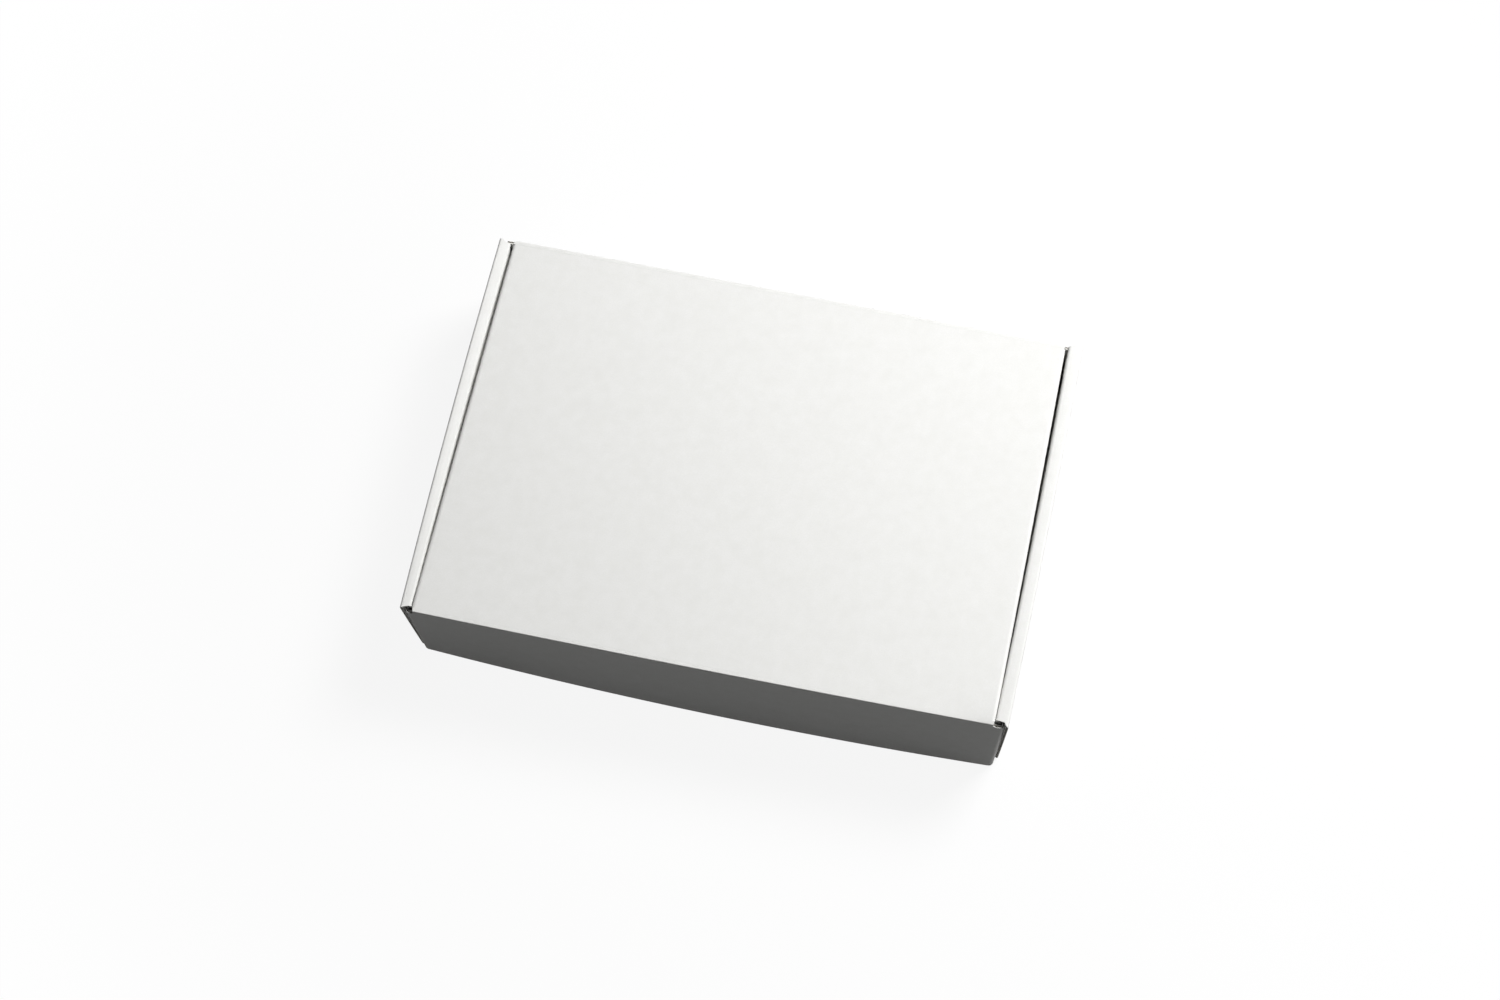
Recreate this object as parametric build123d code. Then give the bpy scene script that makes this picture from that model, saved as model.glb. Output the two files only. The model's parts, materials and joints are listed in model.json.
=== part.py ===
"""Closed corrugated mailer box with roll-over side walls and a tuck-down front flap.

One die-cut blank of white board is folded into a tray, a hinged lid and a front flap.
Millimetres. +X runs along the long side, -Y is the front, +Z is up, and the origin is
the middle of the underside.
"""

import os

from build123d import *

# Inside of the closed box
INSIDE_WIDTH = 228.6
INSIDE_DEPTH = 152.4
INSIDE_HEIGHT = 50.8

# Board and folds
BOARD = 1.3
FOLD_INSIDE_RADIUS = 0.4
LAYER_SLIP = 0.15

# Lid and its folds
LID_GAP_FRONT = 0.4
LID_GAP_BACK = 1.6
LID_REST_GAP = 0.2
LID_CORNER_CUT = 1.5
CREASE_RADIUS = 0.5
CREASE_SLIP = 0.2

# Dust flaps inside the side walls
DUST_DEPTH = 40.0
DUST_BACK_GAP = 2.0
DUST_BACK_LEAN = 3.0
DUST_BACK_ROUND = 8.0
DUST_FRONT_GAP = 6.0
DUST_FRONT_LEAN = 28.0
DUST_FRONT_ROUND = 18.0

# Front flap and the ears that tuck into the side walls
FLAP_WALL_GAP = 0.8
FLAP_FLOOR_GAP = 1.0
FLAP_LEAN = 1.8
FLAP_BOW = 3.0
FLAP_CREASE_BOW = 0.05
FLAP_CORNER_ROUND = 3.0
LOCK_EAR_LENGTH = 8.0
LOCK_EAR_FLOOR_GAP = 0.5

# Roll-over side walls
WALL_FRONT_SETBACK = 0.2
LEDGE_MITRE_OUTER = 1.7
LEDGE_MITRE_INNER = 0.7
INNER_WALL_END_GAP = 0.2
INNER_WALL_FOOT_GAP = 0.2

# Corner ears of the front and rear walls, held inside the side walls
CORNER_EAR_LENGTH = 36.0
CORNER_EAR_TAPER = 5.0
CORNER_EAR_TOP_GAP = 0.9
CORNER_EAR_FLOOR_GAP = 0.8

# Lock tabs under the inner walls and their slots in the floor
TAB_LENGTH = 24.0
TAB_SPACING = 84.0
TAB_RECESS = 0.1
SLOT_CLEARANCE = 0.3

# Layers across a side wall, from the inside out
inner_face = INSIDE_WIDTH / 2
corner_ear_face = inner_face + BOARD + LAYER_SLIP
lock_ear_face = corner_ear_face + BOARD + LAYER_SLIP
outer_wall_inside = lock_ear_face + BOARD + LAYER_SLIP
half_width = outer_wall_inside + BOARD

# Layers from front to back
depth = INSIDE_DEPTH + 3 * BOARD + FLAP_WALL_GAP
flap_face = -depth / 2
front_wall_face = flap_face + BOARD + FLAP_WALL_GAP
front_wall_inside = front_wall_face + BOARD
rear_face = depth / 2
rear_wall_inside = rear_face - BOARD

# Heights
height = INSIDE_HEIGHT + 2 * BOARD
lid_underside = height - BOARD
front_wall_top = lid_underside - LID_REST_GAP
pivot_z = height - CREASE_RADIUS
lip_underside = height - 2 * CREASE_RADIUS
crease_edge = lip_underside - CREASE_SLIP
rear_pivot_y = rear_face - CREASE_RADIUS
front_pivot_y = flap_face + CREASE_RADIUS

fold_outside = FOLD_INSIDE_RADIUS + BOARD
fold_middle = FOLD_INSIDE_RADIUS + BOARD / 2
lid_half_front = inner_face - LID_GAP_FRONT
lid_half_back = inner_face - LID_GAP_BACK


def board_section(points):
    """Face of board thickness that follows a folded middle line."""
    return trace(FilletPolyline(*points, radius=fold_middle), BOARD)


def along_x(face, start, end):
    """Prism of a (y, z) face between two x values."""
    return Location((start, 0, 0)) * extrude(Plane.YZ * face, end - start)


def along_y(face, start, end):
    """Prism of an (x, z) face between two y values."""
    return Location((0, end, 0)) * extrude(Plane.XZ * face, end - start)


def along_z(face, start, end):
    """Prism of an (x, y) face between two z values."""
    return Location((0, 0, start)) * extrude(face, end - start)


def block(x_range, y_range, z_range):
    """Box between the two ends of each range."""
    low = (x_range[0], y_range[0], z_range[0])
    high = (x_range[1], y_range[1], z_range[1])
    size = [b - a for a, b in zip(low, high)]
    return Location(low) * Box(*size, align=(Align.MIN, Align.MIN, Align.MIN))


def polygon(*points):
    """Face inside straight lines through the points, in order."""
    return make_face(Polyline(*points, close=True))


def disc_prism(y, z, radius, half_length):
    """Round bar along X about a crease."""
    return along_x(Pos(y, z) * Circle(radius), -half_length, half_length)


def both_sides(shape):
    """A right-hand shape with its mirror image on the left."""
    return [shape, mirror(shape, about=Plane.YZ)]


def side_walls():
    """Floor with both roll-over walls: outer wall, top ledge and inner wall."""
    mid_top = height - BOARD / 2
    mid_outer = half_width - BOARD / 2
    mid_inner = inner_face + BOARD / 2
    foot = BOARD + INNER_WALL_FOOT_GAP
    right = [(mid_outer, BOARD / 2), (mid_outer, mid_top), (mid_inner, mid_top), (mid_inner, foot)]
    left = [(-x, z) for x, z in reversed(right)]
    walls = along_y(board_section(left + right), flap_face + WALL_FRONT_SETBACK, rear_face)

    fold_top = BOARD + FOLD_INSIDE_RADIUS
    floor_span = (-outer_wall_inside, outer_wall_inside)
    walls -= block(floor_span, (flap_face, front_wall_face + fold_outside), (0, fold_top))
    walls -= block(floor_span, (rear_face - fold_outside, rear_face), (0, fold_top))

    hollow = (inner_face - BOARD, outer_wall_inside)
    below_ledge = (BOARD, lid_underside)
    walls -= both_sides(block(hollow, (flap_face, front_wall_inside + INNER_WALL_END_GAP), below_ledge))
    walls -= both_sides(block(hollow, (rear_wall_inside - INNER_WALL_END_GAP, rear_face), below_ledge))
    for end, inward in ((flap_face + WALL_FRONT_SETBACK, 1), (rear_face, -1)):
        walls -= both_sides(ledge_mitre(end, inward))
    return walls


def ledge_mitre(end, inward):
    """Waste cut off one end of the right ledge, which gets shorter towards the lid."""
    shoulder = end + inward * LEDGE_MITRE_OUTER
    inner = shoulder + inward * LEDGE_MITRE_INNER
    beyond = end - inward * BOARD
    far = inner_face - BOARD
    waste = polygon(
        (half_width, beyond), (half_width, end), (outer_wall_inside, shoulder),
        (inner_face, inner), (far, inner), (far, beyond),
    )
    return along_z(waste, lid_underside - FOLD_INSIDE_RADIUS, height + BOARD)


def end_walls():
    """Front and rear walls, folded up from the floor."""
    front = front_wall_face + BOARD / 2
    rear = rear_face - BOARD / 2
    line = [(front, front_wall_top), (front, BOARD / 2), (rear, BOARD / 2), (rear, crease_edge)]
    span = lock_ear_face - LAYER_SLIP - fold_outside
    return along_x(board_section(line), -span, span)


def corner_ear(wall_middle, wall_top, inward):
    """Right-hand ear that folds back from an end wall into the side wall's hollow."""
    middle = corner_ear_face + BOARD / 2
    tip = wall_middle + inward * CORNER_EAR_LENGTH
    start = middle - 2 * fold_outside
    plan = board_section([(start, wall_middle), (middle, wall_middle), (middle, tip)])
    low = BOARD + CORNER_EAR_FLOOR_GAP
    high = wall_top - CORNER_EAR_TOP_GAP
    ear = along_z(plan, low, high)
    shoulder = tip - inward * CORNER_EAR_TAPER
    past = tip + inward * BOARD
    for edge, turn in ((low, 1), (high, -1)):
        waste = polygon(
            (shoulder, edge), (past, edge), (past, edge + turn * CORNER_EAR_TAPER),
            (tip, edge + turn * CORNER_EAR_TAPER),
        )
        ear -= along_x(waste, start, half_width)
    return ear


def tab_places():
    """Middles of the lock tabs along each side wall."""
    middle = (front_wall_inside + rear_wall_inside) / 2
    return [middle - TAB_SPACING / 2, middle + TAB_SPACING / 2]


def make_tray():
    """Floor, walls, corner ears and lock tabs, folded from one sheet."""
    tray = side_walls() + end_walls()
    tray += both_sides(corner_ear(front_wall_face + BOARD / 2, front_wall_top, 1))
    tray += both_sides(corner_ear(rear_face - BOARD / 2, crease_edge, -1))
    for y in tab_places():
        reach = TAB_LENGTH / 2
        slot_x = (inner_face - SLOT_CLEARANCE, inner_face + BOARD + SLOT_CLEARANCE)
        slot_y = (y - reach - SLOT_CLEARANCE, y + reach + SLOT_CLEARANCE)
        tray -= both_sides(block(slot_x, slot_y, (0, BOARD)))
        tab_x = (inner_face, inner_face + BOARD)
        foot = BOARD + INNER_WALL_FOOT_GAP
        tray += both_sides(block(tab_x, (y - reach, y + reach), (TAB_RECESS, foot)))
    return tray


def crease_lip(pivot_y, panel_y, half_length):
    """Thinned lid edge that ends in a round bead about a crease."""
    span = sorted((pivot_y, panel_y))
    lip = block((-half_length, half_length), span, (lip_underside, height))
    return lip + disc_prism(pivot_y, pivot_z, CREASE_RADIUS, half_length)


def dust_outline():
    """Side view of a dust flap, with a leaning back edge and a sloped, rounded front."""
    low = lid_underside - DUST_DEPTH
    high = height
    back = rear_wall_inside - DUST_BACK_GAP
    front = front_wall_inside + DUST_FRONT_GAP
    outline = polygon(
        (back, high), (back, lid_underside), (back - DUST_BACK_LEAN, low),
        (front + DUST_FRONT_LEAN, low), (front, lid_underside), (front, high),
    )
    front_corner = outline.vertices().group_by(Axis.Y)[0].sort_by(Axis.X)[0]
    outline = fillet(front_corner, DUST_FRONT_ROUND)
    back_corner = outline.vertices().group_by(Axis.Y)[0].sort_by(Axis.X)[-1]
    return fillet(back_corner, DUST_BACK_ROUND)


def lid_section(half):
    """Lid panel with both dust flaps folded down, seen from the front."""
    middle = half - BOARD / 2
    low = lid_underside - DUST_DEPTH
    top = height - BOARD / 2
    return board_section([(-middle, low), (-middle, top), (middle, top), (middle, low)])


def make_lid():
    """Lid panel, a little narrower at the back, with dust flaps and two crease lips."""
    front = flap_face + BOARD + CREASE_SLIP
    back = rear_wall_inside - CREASE_SLIP
    lid = loft([
        Location((0, front, 0)) * (Plane.XZ * lid_section(lid_half_front)),
        Location((0, back, 0)) * (Plane.XZ * lid_section(lid_half_back)),
    ], ruled=True)
    under_panel = block((-half_width, half_width), (flap_face, rear_face), (0, lid_underside))
    lid -= under_panel - along_x(dust_outline(), -half_width, half_width)
    lid += crease_lip(front_pivot_y, front, lid_half_front)
    lid += crease_lip(rear_pivot_y, back, lid_half_back)
    corner = polygon(
        (lid_half_back - LID_CORNER_CUT, rear_face),
        (lid_half_back + LID_CORNER_CUT, rear_face - 2 * LID_CORNER_CUT),
        (lid_half_back + LID_CORNER_CUT, rear_face),
    )
    return lid - both_sides(along_z(corner, lid_underside, height))


def flap_section(lean, bow):
    """Plan of the flap: bowed panel, round end bends and ears that point back."""
    ear_out = lock_ear_face + BOARD
    bend = ear_out - fold_outside
    face = flap_face - lean
    inside = face + BOARD
    straight = face + fold_outside
    tip = flap_face + LOCK_EAR_LENGTH
    half = Curve() + [
        Line((ear_out, straight), (ear_out, tip)),
        Line((ear_out, tip), (lock_ear_face, tip)),
        Line((lock_ear_face, tip), (lock_ear_face, straight)),
        RadiusArc((ear_out, straight), (bend, face), fold_outside),
        RadiusArc((lock_ear_face, straight), (bend, inside), FOLD_INSIDE_RADIUS),
    ]
    outer = ThreePointArc((-bend, face), (0, face - bow), (bend, face))
    inner = ThreePointArc((-bend, inside), (0, inside - bow), (bend, inside))
    return make_face(half + mirror(half, about=Plane.YZ) + [outer, inner])


def make_front_flap():
    """Front flap, straight at its crease, leaning and bowed forward at its free edge."""
    low = FLAP_FLOOR_GAP
    flap = loft([
        Location((0, 0, low)) * flap_section(FLAP_LEAN, FLAP_BOW),
        Location((0, 0, crease_edge)) * flap_section(0, FLAP_CREASE_BOW),
    ], ruled=True)
    bend_end = flap_face + fold_outside
    flap -= disc_prism(rear_pivot_y, pivot_z, rear_pivot_y - bend_end, half_width)

    reach = pivot_z - BOARD - LOCK_EAR_FLOOR_GAP
    below = block((-half_width, half_width), (flap_face + BOARD, 0), (0, height))
    flap -= below - disc_prism(front_pivot_y, pivot_z, reach, half_width)

    middle = lock_ear_face + BOARD - FLAP_CORNER_ROUND
    centre_z = low + FLAP_CORNER_ROUND
    panel = (flap_face - FLAP_LEAN - FLAP_BOW, flap_face + BOARD)
    corner = block((middle, half_width), panel, (0, centre_z))
    corner -= along_y(Pos(middle, centre_z) * Circle(FLAP_CORNER_ROUND), *panel)
    return flap - both_sides(corner)


def main():
    os.makedirs("parts", exist_ok=True)
    makers = {"tray": make_tray, "lid": make_lid, "front_flap": make_front_flap}
    for name, make in makers.items():
        export_step(make(), f"parts/{name}.step")


main()
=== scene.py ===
"""Looks of a closed white mailer box, folded from one blank of thin fluted board.

Every panel is built as the real board is: two paper liners with a fluted sheet between
them, so that cut edges show the flutes. Shapes are worked out in millimetres in the CAD
frame (+X along the long side, -Y the front, +Z up) and put into meshes in metres.
"""

import json
import logging
import math
from dataclasses import dataclass
from enum import Enum
from typing import Callable, Optional, Sequence

import bpy
import numpy as np
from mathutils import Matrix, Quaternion, Vector

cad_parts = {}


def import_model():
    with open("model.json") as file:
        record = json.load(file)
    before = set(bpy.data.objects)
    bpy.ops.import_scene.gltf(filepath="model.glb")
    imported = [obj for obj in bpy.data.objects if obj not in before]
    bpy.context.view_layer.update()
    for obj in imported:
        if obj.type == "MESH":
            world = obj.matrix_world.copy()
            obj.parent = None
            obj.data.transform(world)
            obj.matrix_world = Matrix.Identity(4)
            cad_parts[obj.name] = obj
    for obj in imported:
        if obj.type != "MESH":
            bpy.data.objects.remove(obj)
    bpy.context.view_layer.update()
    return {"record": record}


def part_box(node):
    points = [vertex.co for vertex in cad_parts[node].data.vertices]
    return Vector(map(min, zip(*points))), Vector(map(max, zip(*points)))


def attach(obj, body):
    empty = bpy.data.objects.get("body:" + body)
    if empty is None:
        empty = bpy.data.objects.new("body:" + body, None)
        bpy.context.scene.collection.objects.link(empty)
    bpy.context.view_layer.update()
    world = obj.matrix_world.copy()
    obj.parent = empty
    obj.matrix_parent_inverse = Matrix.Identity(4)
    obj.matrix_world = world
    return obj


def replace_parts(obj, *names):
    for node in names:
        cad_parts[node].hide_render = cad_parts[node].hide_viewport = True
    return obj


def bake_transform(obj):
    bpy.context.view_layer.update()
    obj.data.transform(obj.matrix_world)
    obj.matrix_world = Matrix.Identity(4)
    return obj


Array = np.ndarray
Surface = Callable[[Array, Array], Array]
Limit = Callable[[Array], Array]
Pair = tuple[float, float]
Triple = tuple[float, float, float]
Materials = Sequence[bpy.types.Material]

# One millimetre in metres. Lengths are in millimetres unless they say otherwise.
MM = 0.001
PHOTO_WIDTH, PHOTO_HEIGHT = 1500, 1000

# Mesh lines: the least gap to a panel's ends, the digits that tell two lines apart, and how far
# the close lines at a fold go on at either side of it, as a share of its arc
KNOT_GAP = 0.01
KNOT_DIGITS = 3
FOLD_MARGIN = 1.5

# Small steps for reading a surface's slope and its bend
NORMAL_STEP = 0.02
FOLD_STEP = 0.3

# Flutes: mesh points on each wave, the fewest on a short edge, and the most of a narrow panel's
# depth that the flutes of one edge take
WAVE_POINTS = 10
FEWEST_POINTS = 6
FLUTE_SHARE = 0.45

# Faces that meet at more than this many degrees keep a sharp edge
SHARP_ANGLE = 40.0

# Points closer than this count as one
SAME_POINT = 1e-6

# Colour sockets of a mix node, whose names are used more than once
MIX_FACTOR, MIX_FIRST, MIX_SECOND, MIX_RESULT = 0, 6, 7, 2
WHITE = (1.0, 1.0, 1.0, 1.0)

log = logging.getLogger("mailer_box")


class Paper(Enum):
    """The two papers of the board, in the order of a piece's material slots."""

    LINER = 0
    MEDIUM = 1


class Edge(Enum):
    """The two ends of a panel along its flutes."""

    LOW = -1
    HIGH = 1


@dataclass(frozen=True)
class Board:
    """Thin fluted board, in millimetres.

    Attributes:
        thickness: Liner to liner over all.
        liner: Thickness of each paper liner.
        medium: Thickness of the fluted sheet.
        pitch: Distance from flute to flute.
        flute_reach: How far in from a cut edge the flutes are modelled.
        recess: How far the flutes stop short of a cut edge.
        middle_radius: Radius of the board's middle line at a fold.
        fold_press: Share of the half thickness that scoring takes away inside a fold.
        fold_dent: Share that it takes away outside.
        fold_press_width: Half width of the scored dent beside a fold.
    """

    thickness: float = 1.3
    liner: float = 0.26
    medium: float = 0.17
    pitch: float = 3.2
    flute_reach: float = 6.0
    recess: float = 0.15
    middle_radius: float = 0.45
    fold_press: float = 0.4
    fold_dent: float = 0.05
    fold_press_width: float = 1.0

    @property
    def outside_radius(self) -> float:
        """Fold radius of the outer liner's face."""
        return self.middle_radius + self.thickness / 2

    @property
    def core_half(self) -> float:
        """Half the space between the liners."""
        return self.thickness / 2 - self.liner


@dataclass(frozen=True)
class Layout:
    """Faces of the folded box, in millimetres, read from the CAD frame.

    Attributes:
        half_width: Outer face of a side wall.
        height: Top of the lid and ledges.
        flap_face: Outer face of the front flap at its crease.
        rear_face: Outer face of the rear wall.
        lid_half_front: Half width of the lid at its front crease.
        pivot_z: Height of both moving creases.
        rear_pivot: Depth position of the rear crease.
        flap_low: Height of the flap's free edge.
        board: The board's make-up.
        layer_slip: Gap between layers that lie against each other.
        flap_wall_gap: Gap from the front flap to the front wall.
        lid_rest_gap: Gap from the lid to the front wall's top edge.
        crease_slip: How far a crease's strip reaches past the board's thickness.
    """

    half_width: float
    height: float
    flap_face: float
    rear_face: float
    lid_half_front: float
    pivot_z: float
    rear_pivot: float
    flap_low: float
    board: Board = Board()
    layer_slip: float = 0.15
    flap_wall_gap: float = 0.8
    lid_rest_gap: float = 0.2
    crease_slip: float = 0.2

    @classmethod
    def from_frame(cls, record: dict) -> "Layout":
        """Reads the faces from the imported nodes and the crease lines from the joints.

        Args:
            record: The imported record.

        Returns:
            The box's faces in millimetres.
        """
        tray_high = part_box("tray")[1] / MM
        lid_low, lid_high = (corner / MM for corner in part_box("lid"))
        flap_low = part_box("front_flap")[0] / MM
        joints = {joint["name"]: joint["pos_m"] for joint in record["behaviour"]["joints"]}
        return cls(
            half_width=tray_high.x,
            height=tray_high.z,
            flap_face=lid_low.y,
            rear_face=tray_high.y,
            lid_half_front=lid_high.x,
            pivot_z=joints["lid_hinge"][2] / MM,
            rear_pivot=joints["lid_hinge"][1] / MM,
            flap_low=flap_low.z,
        )

    @property
    def outer_wall_inside(self) -> float:
        """Inner face of a side's outer wall."""
        return self.half_width - self.board.thickness

    @property
    def lock_ear_face(self) -> float:
        """Inner face of the flap's lock ear."""
        return self.outer_wall_inside - self.layer_slip - self.board.thickness

    @property
    def corner_ear_face(self) -> float:
        """Inner face of an end wall's corner ear."""
        return self.lock_ear_face - self.layer_slip - self.board.thickness

    @property
    def inner_face(self) -> float:
        """Inner face of a side's inner wall."""
        return self.corner_ear_face - self.layer_slip - self.board.thickness

    @property
    def front_wall_face(self) -> float:
        """Outer face of the front wall, behind the flap."""
        return self.flap_face + self.board.thickness + self.flap_wall_gap

    @property
    def front_wall_inside(self) -> float:
        """Inner face of the front wall."""
        return self.front_wall_face + self.board.thickness

    @property
    def rear_wall_inside(self) -> float:
        """Inner face of the rear wall."""
        return self.rear_face - self.board.thickness

    @property
    def lid_underside(self) -> float:
        """Underside of the lid panel."""
        return self.height - self.board.thickness

    @property
    def front_wall_top(self) -> float:
        """Top edge of the front wall."""
        return self.lid_underside - self.lid_rest_gap

    @property
    def crease_edge(self) -> float:
        """Top edge of the rear wall, under the rear crease's strip."""
        return 2 * self.pivot_z - self.height - self.crease_slip


class FoldedLine:
    """A polyline with round corners, read by the length along it.

    Straight runs and arcs follow each other. Before its start and past its end the line
    goes on straight.

    Attributes:
        along: Direction of each straight run.
        turns: Angle of each corner, positive to the left.
        radius: Radius of each corner.
        starts: First point of each run.
        runs: Length of each run.
        run_starts: Length along the line where each run starts.
        run_ends: Length along the line where it ends.
        length: Length of the whole line.
    """

    def __init__(self, corners: Sequence[Sequence[float]], radius: float | Sequence[float]) -> None:
        """Works out the runs and arcs.

        Args:
            corners: The polyline's points in its own plane.
            radius: Radius of every corner, or one for each.
        """
        points = np.asarray(corners, float)
        steps = np.diff(points, axis=0)
        lengths = np.linalg.norm(steps, axis=1)
        self.along = steps / lengths[:, None]
        turns = np.arctan2(
            self.along[:-1, 0] * self.along[1:, 1] - self.along[:-1, 1] * self.along[1:, 0],
            np.sum(self.along[:-1] * self.along[1:], axis=1),
        )
        radius = np.broadcast_to(np.asarray(radius, float), turns.shape)
        cut = radius * np.tan(np.abs(turns) / 2)
        before = np.concatenate([[0.0], cut])
        after = np.concatenate([cut, [0.0]])
        self.turns = turns
        self.radius = radius
        self.starts = points[:-1] + self.along * before[:, None]
        self.runs = lengths - before - after
        arcs = np.concatenate([radius * np.abs(turns), [0.0]])
        self.run_starts = np.concatenate([[0.0], np.cumsum(self.runs + arcs)[:-1]])
        self.run_ends = self.run_starts + self.runs
        self.length = float(self.run_ends[-1])

    def at(self, s: Array) -> Array:
        """Points at lengths s along the line.

        Args:
            s: Lengths, of any shape.

        Returns:
            Points, with a last axis of two.
        """
        run = np.clip(np.searchsorted(self.run_starts, s, side="right") - 1, 0, None)
        straight = self.starts[run] + self.along[run] * (s - self.run_starts[run])[..., None]
        if not len(self.turns):
            return straight
        past = np.minimum(run, len(self.turns) - 1)
        over = s - self.run_ends[run]
        on_arc = (over > 0) & (run < len(self.turns))
        side, radius = np.sign(self.turns[past]), self.radius[past]
        angle = side * np.clip(over, 0, None) / radius
        ahead = self.along[run]
        left = np.stack([-ahead[..., 1], ahead[..., 0]], -1)
        corner = self.starts[run] + ahead * self.runs[run][..., None]
        bent = (
            corner
            + ahead * (radius * side * np.sin(angle))[..., None]
            + left * (radius * side * (1 - np.cos(angle)))[..., None]
        )
        return np.where(on_arc[..., None], bent, straight)

    def folds(self) -> Array:
        """Lengths at the middle of each round corner."""
        return (self.run_ends[:-1] + self.run_starts[1:]) / 2

    def knots(self, start: float, end: float, step: float, arc_steps: int = 8) -> Array:
        """Lengths for a mesh: even along the runs, close together round the corners.

        Args:
            start: First length.
            end: Last length.
            step: Longest gap on a straight run.
            arc_steps: Gaps on each corner's arc; those beside it are as close.

        Returns:
            Rising lengths from start to end.
        """
        marks = [np.linspace(start, end, max(2, int(math.ceil((end - start) / step)) + 1))]
        for low, high in zip(self.run_ends[:-1], self.run_starts[1:]):
            margin = FOLD_MARGIN * (high - low)
            gaps = round((1 + 2 * FOLD_MARGIN) * arc_steps)
            marks.append(np.linspace(low - margin, high + margin, gaps + 1))
            marks.append(np.array([low, high]))
        every = np.unique(np.round(np.concatenate(marks), KNOT_DIGITS))
        inside = every[(every > start + KNOT_GAP) & (every < end - KNOT_GAP)]
        return np.concatenate([[start], inside, [end]])


def link_mesh(mesh: bpy.types.Mesh, materials: Materials) -> bpy.types.Object:
    """Smooths a mesh except at sharp edges, gives it its materials and links it.

    Args:
        mesh: The finished mesh, in metres.
        materials: Its materials, in the order of the faces' indices.

    Returns:
        The linked object, at the origin, with the mesh's name.
    """
    mesh.shade_smooth()
    mesh.set_sharp_from_angle(angle=math.radians(SHARP_ANGLE))
    for material in materials:
        mesh.materials.append(material)
    piece = bpy.data.objects.new(mesh.name, mesh)
    bpy.context.scene.collection.objects.link(piece)
    return piece


class MeshStock:
    """Collects closed slabs and turns them into one mesh object.

    Attributes:
        points: Points of each slab, in millimetres.
        faces: Point numbers of each slab's faces.
        maps: Place of each point on the unfolded board.
        papers: Material number of each face.
        count: Number of points so far.
    """

    def __init__(self) -> None:
        """Starts empty."""
        self.points: list[Array] = []
        self.faces: list[Array] = []
        self.maps: list[Array] = []
        self.papers: list[Array] = []
        self.count = 0

    def slab(self, top: Array, bottom: Array, flat: Array, paper: Paper) -> None:
        """Adds a closed slab between two matching grids, faces outward.

        Args:
            top: Grid of points on the side that the grid's own normal points to.
            bottom: Grid of points on the other side.
            flat: Grid of places on the unfolded board, for the texture map.
            paper: Which paper the slab is made of.
        """
        rows, columns = top.shape[:2]
        index = np.arange(rows * columns).reshape(rows, columns)
        under = index + rows * columns
        near = np.stack([index[:-1, :-1], index[1:, :-1], index[1:, 1:], index[:-1, 1:]], -1)
        far = np.stack([under[:-1, :-1], under[:-1, 1:], under[1:, 1:], under[1:, :-1]], -1)
        rim = np.concatenate([index[:, 0], index[-1, 1:], index[-2::-1, -1], index[0, -2::-1]])
        below = rim + rows * columns
        sides = np.stack([below[:-1], below[1:], rim[1:], rim[:-1]], -1)
        faces = np.concatenate([near.reshape(-1, 4), far.reshape(-1, 4), sides])
        self.points.append(np.concatenate([top.reshape(-1, 3), bottom.reshape(-1, 3)]))
        self.faces.append(faces + self.count)
        self.maps.append(np.tile(flat.reshape(-1, 2), (2, 1)))
        self.papers.append(np.full(len(faces), paper.value))
        self.count += 2 * rows * columns

    def build(self, name: str, materials: Materials) -> bpy.types.Object:
        """Makes the mesh object, in metres, at the origin.

        Args:
            name: The piece's name.
            materials: One material for each paper.

        Returns:
            The linked object.
        """
        points = np.concatenate(self.points) * MM
        faces = np.concatenate(self.faces)
        flat = np.concatenate(self.maps) * MM
        mesh = bpy.data.meshes.new(name)
        mesh.vertices.add(len(points))
        mesh.vertices.foreach_set("co", points.astype(np.float32).ravel())
        mesh.loops.add(faces.size)
        mesh.loops.foreach_set("vertex_index", faces.astype(np.int32).ravel())
        mesh.polygons.add(len(faces))
        mesh.polygons.foreach_set("loop_start", np.arange(0, faces.size, 4, dtype=np.int32))
        mesh.polygons.foreach_set(
            "material_index", np.concatenate(self.papers).astype(np.int32)
        )
        mesh.update(calc_edges=True)
        layer = mesh.uv_layers.new(name="flat")
        layer.data.foreach_set("uv", flat[faces.ravel()].astype(np.float32).ravel())
        mesh.validate()
        return link_mesh(mesh, materials)


def surface_normals(place: Surface, u: Array, v: Array) -> Array:
    """Unit normals of a surface: the cross product of its two small steps.

    Args:
        place: The surface.
        u: First parameter.
        v: Second parameter.

    Returns:
        Normals, with a last axis of three.
    """
    across = place(u + NORMAL_STEP, v) - place(u - NORMAL_STEP, v)
    along = place(u, v + NORMAL_STEP) - place(u, v - NORMAL_STEP)
    normal = np.cross(across, along)
    return normal / np.linalg.norm(normal, axis=-1, keepdims=True)


def smooth_step(t: Array) -> Array:
    """Rises from 0 to 1 with level ends, as 3t^2 - 2t^3."""
    t = np.clip(t, 0, 1)
    return t * t * (3 - 2 * t)


def through(values: Sequence[float], t: Array) -> Array:
    """Parabola through three values, at t = 0, 1/2 and 1."""
    first, middle, last = values
    return first * (1 - t) * (1 - 2 * t) + 4 * middle * t * (1 - t) + last * t * (2 * t - 1)


def steady(value: float) -> Limit:
    """A panel limit that is the same all along."""
    return lambda u: np.full(np.shape(u), float(value))


def stepped(places: Sequence[float], values: Sequence[float]) -> Limit:
    """A panel limit that runs straight between given places."""
    return lambda u: np.interp(u, places, values)


def even_shares(count: int) -> Array:
    """Even shares from 0 to 1, for mesh lines along the flutes."""
    return np.linspace(0, 1, count)


def hand_of(sign: int) -> int:
    """Place of a side's values in a pair: 0 for the left side (-1) and 1 for the right (+1)."""
    return (sign + 1) // 2


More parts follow.
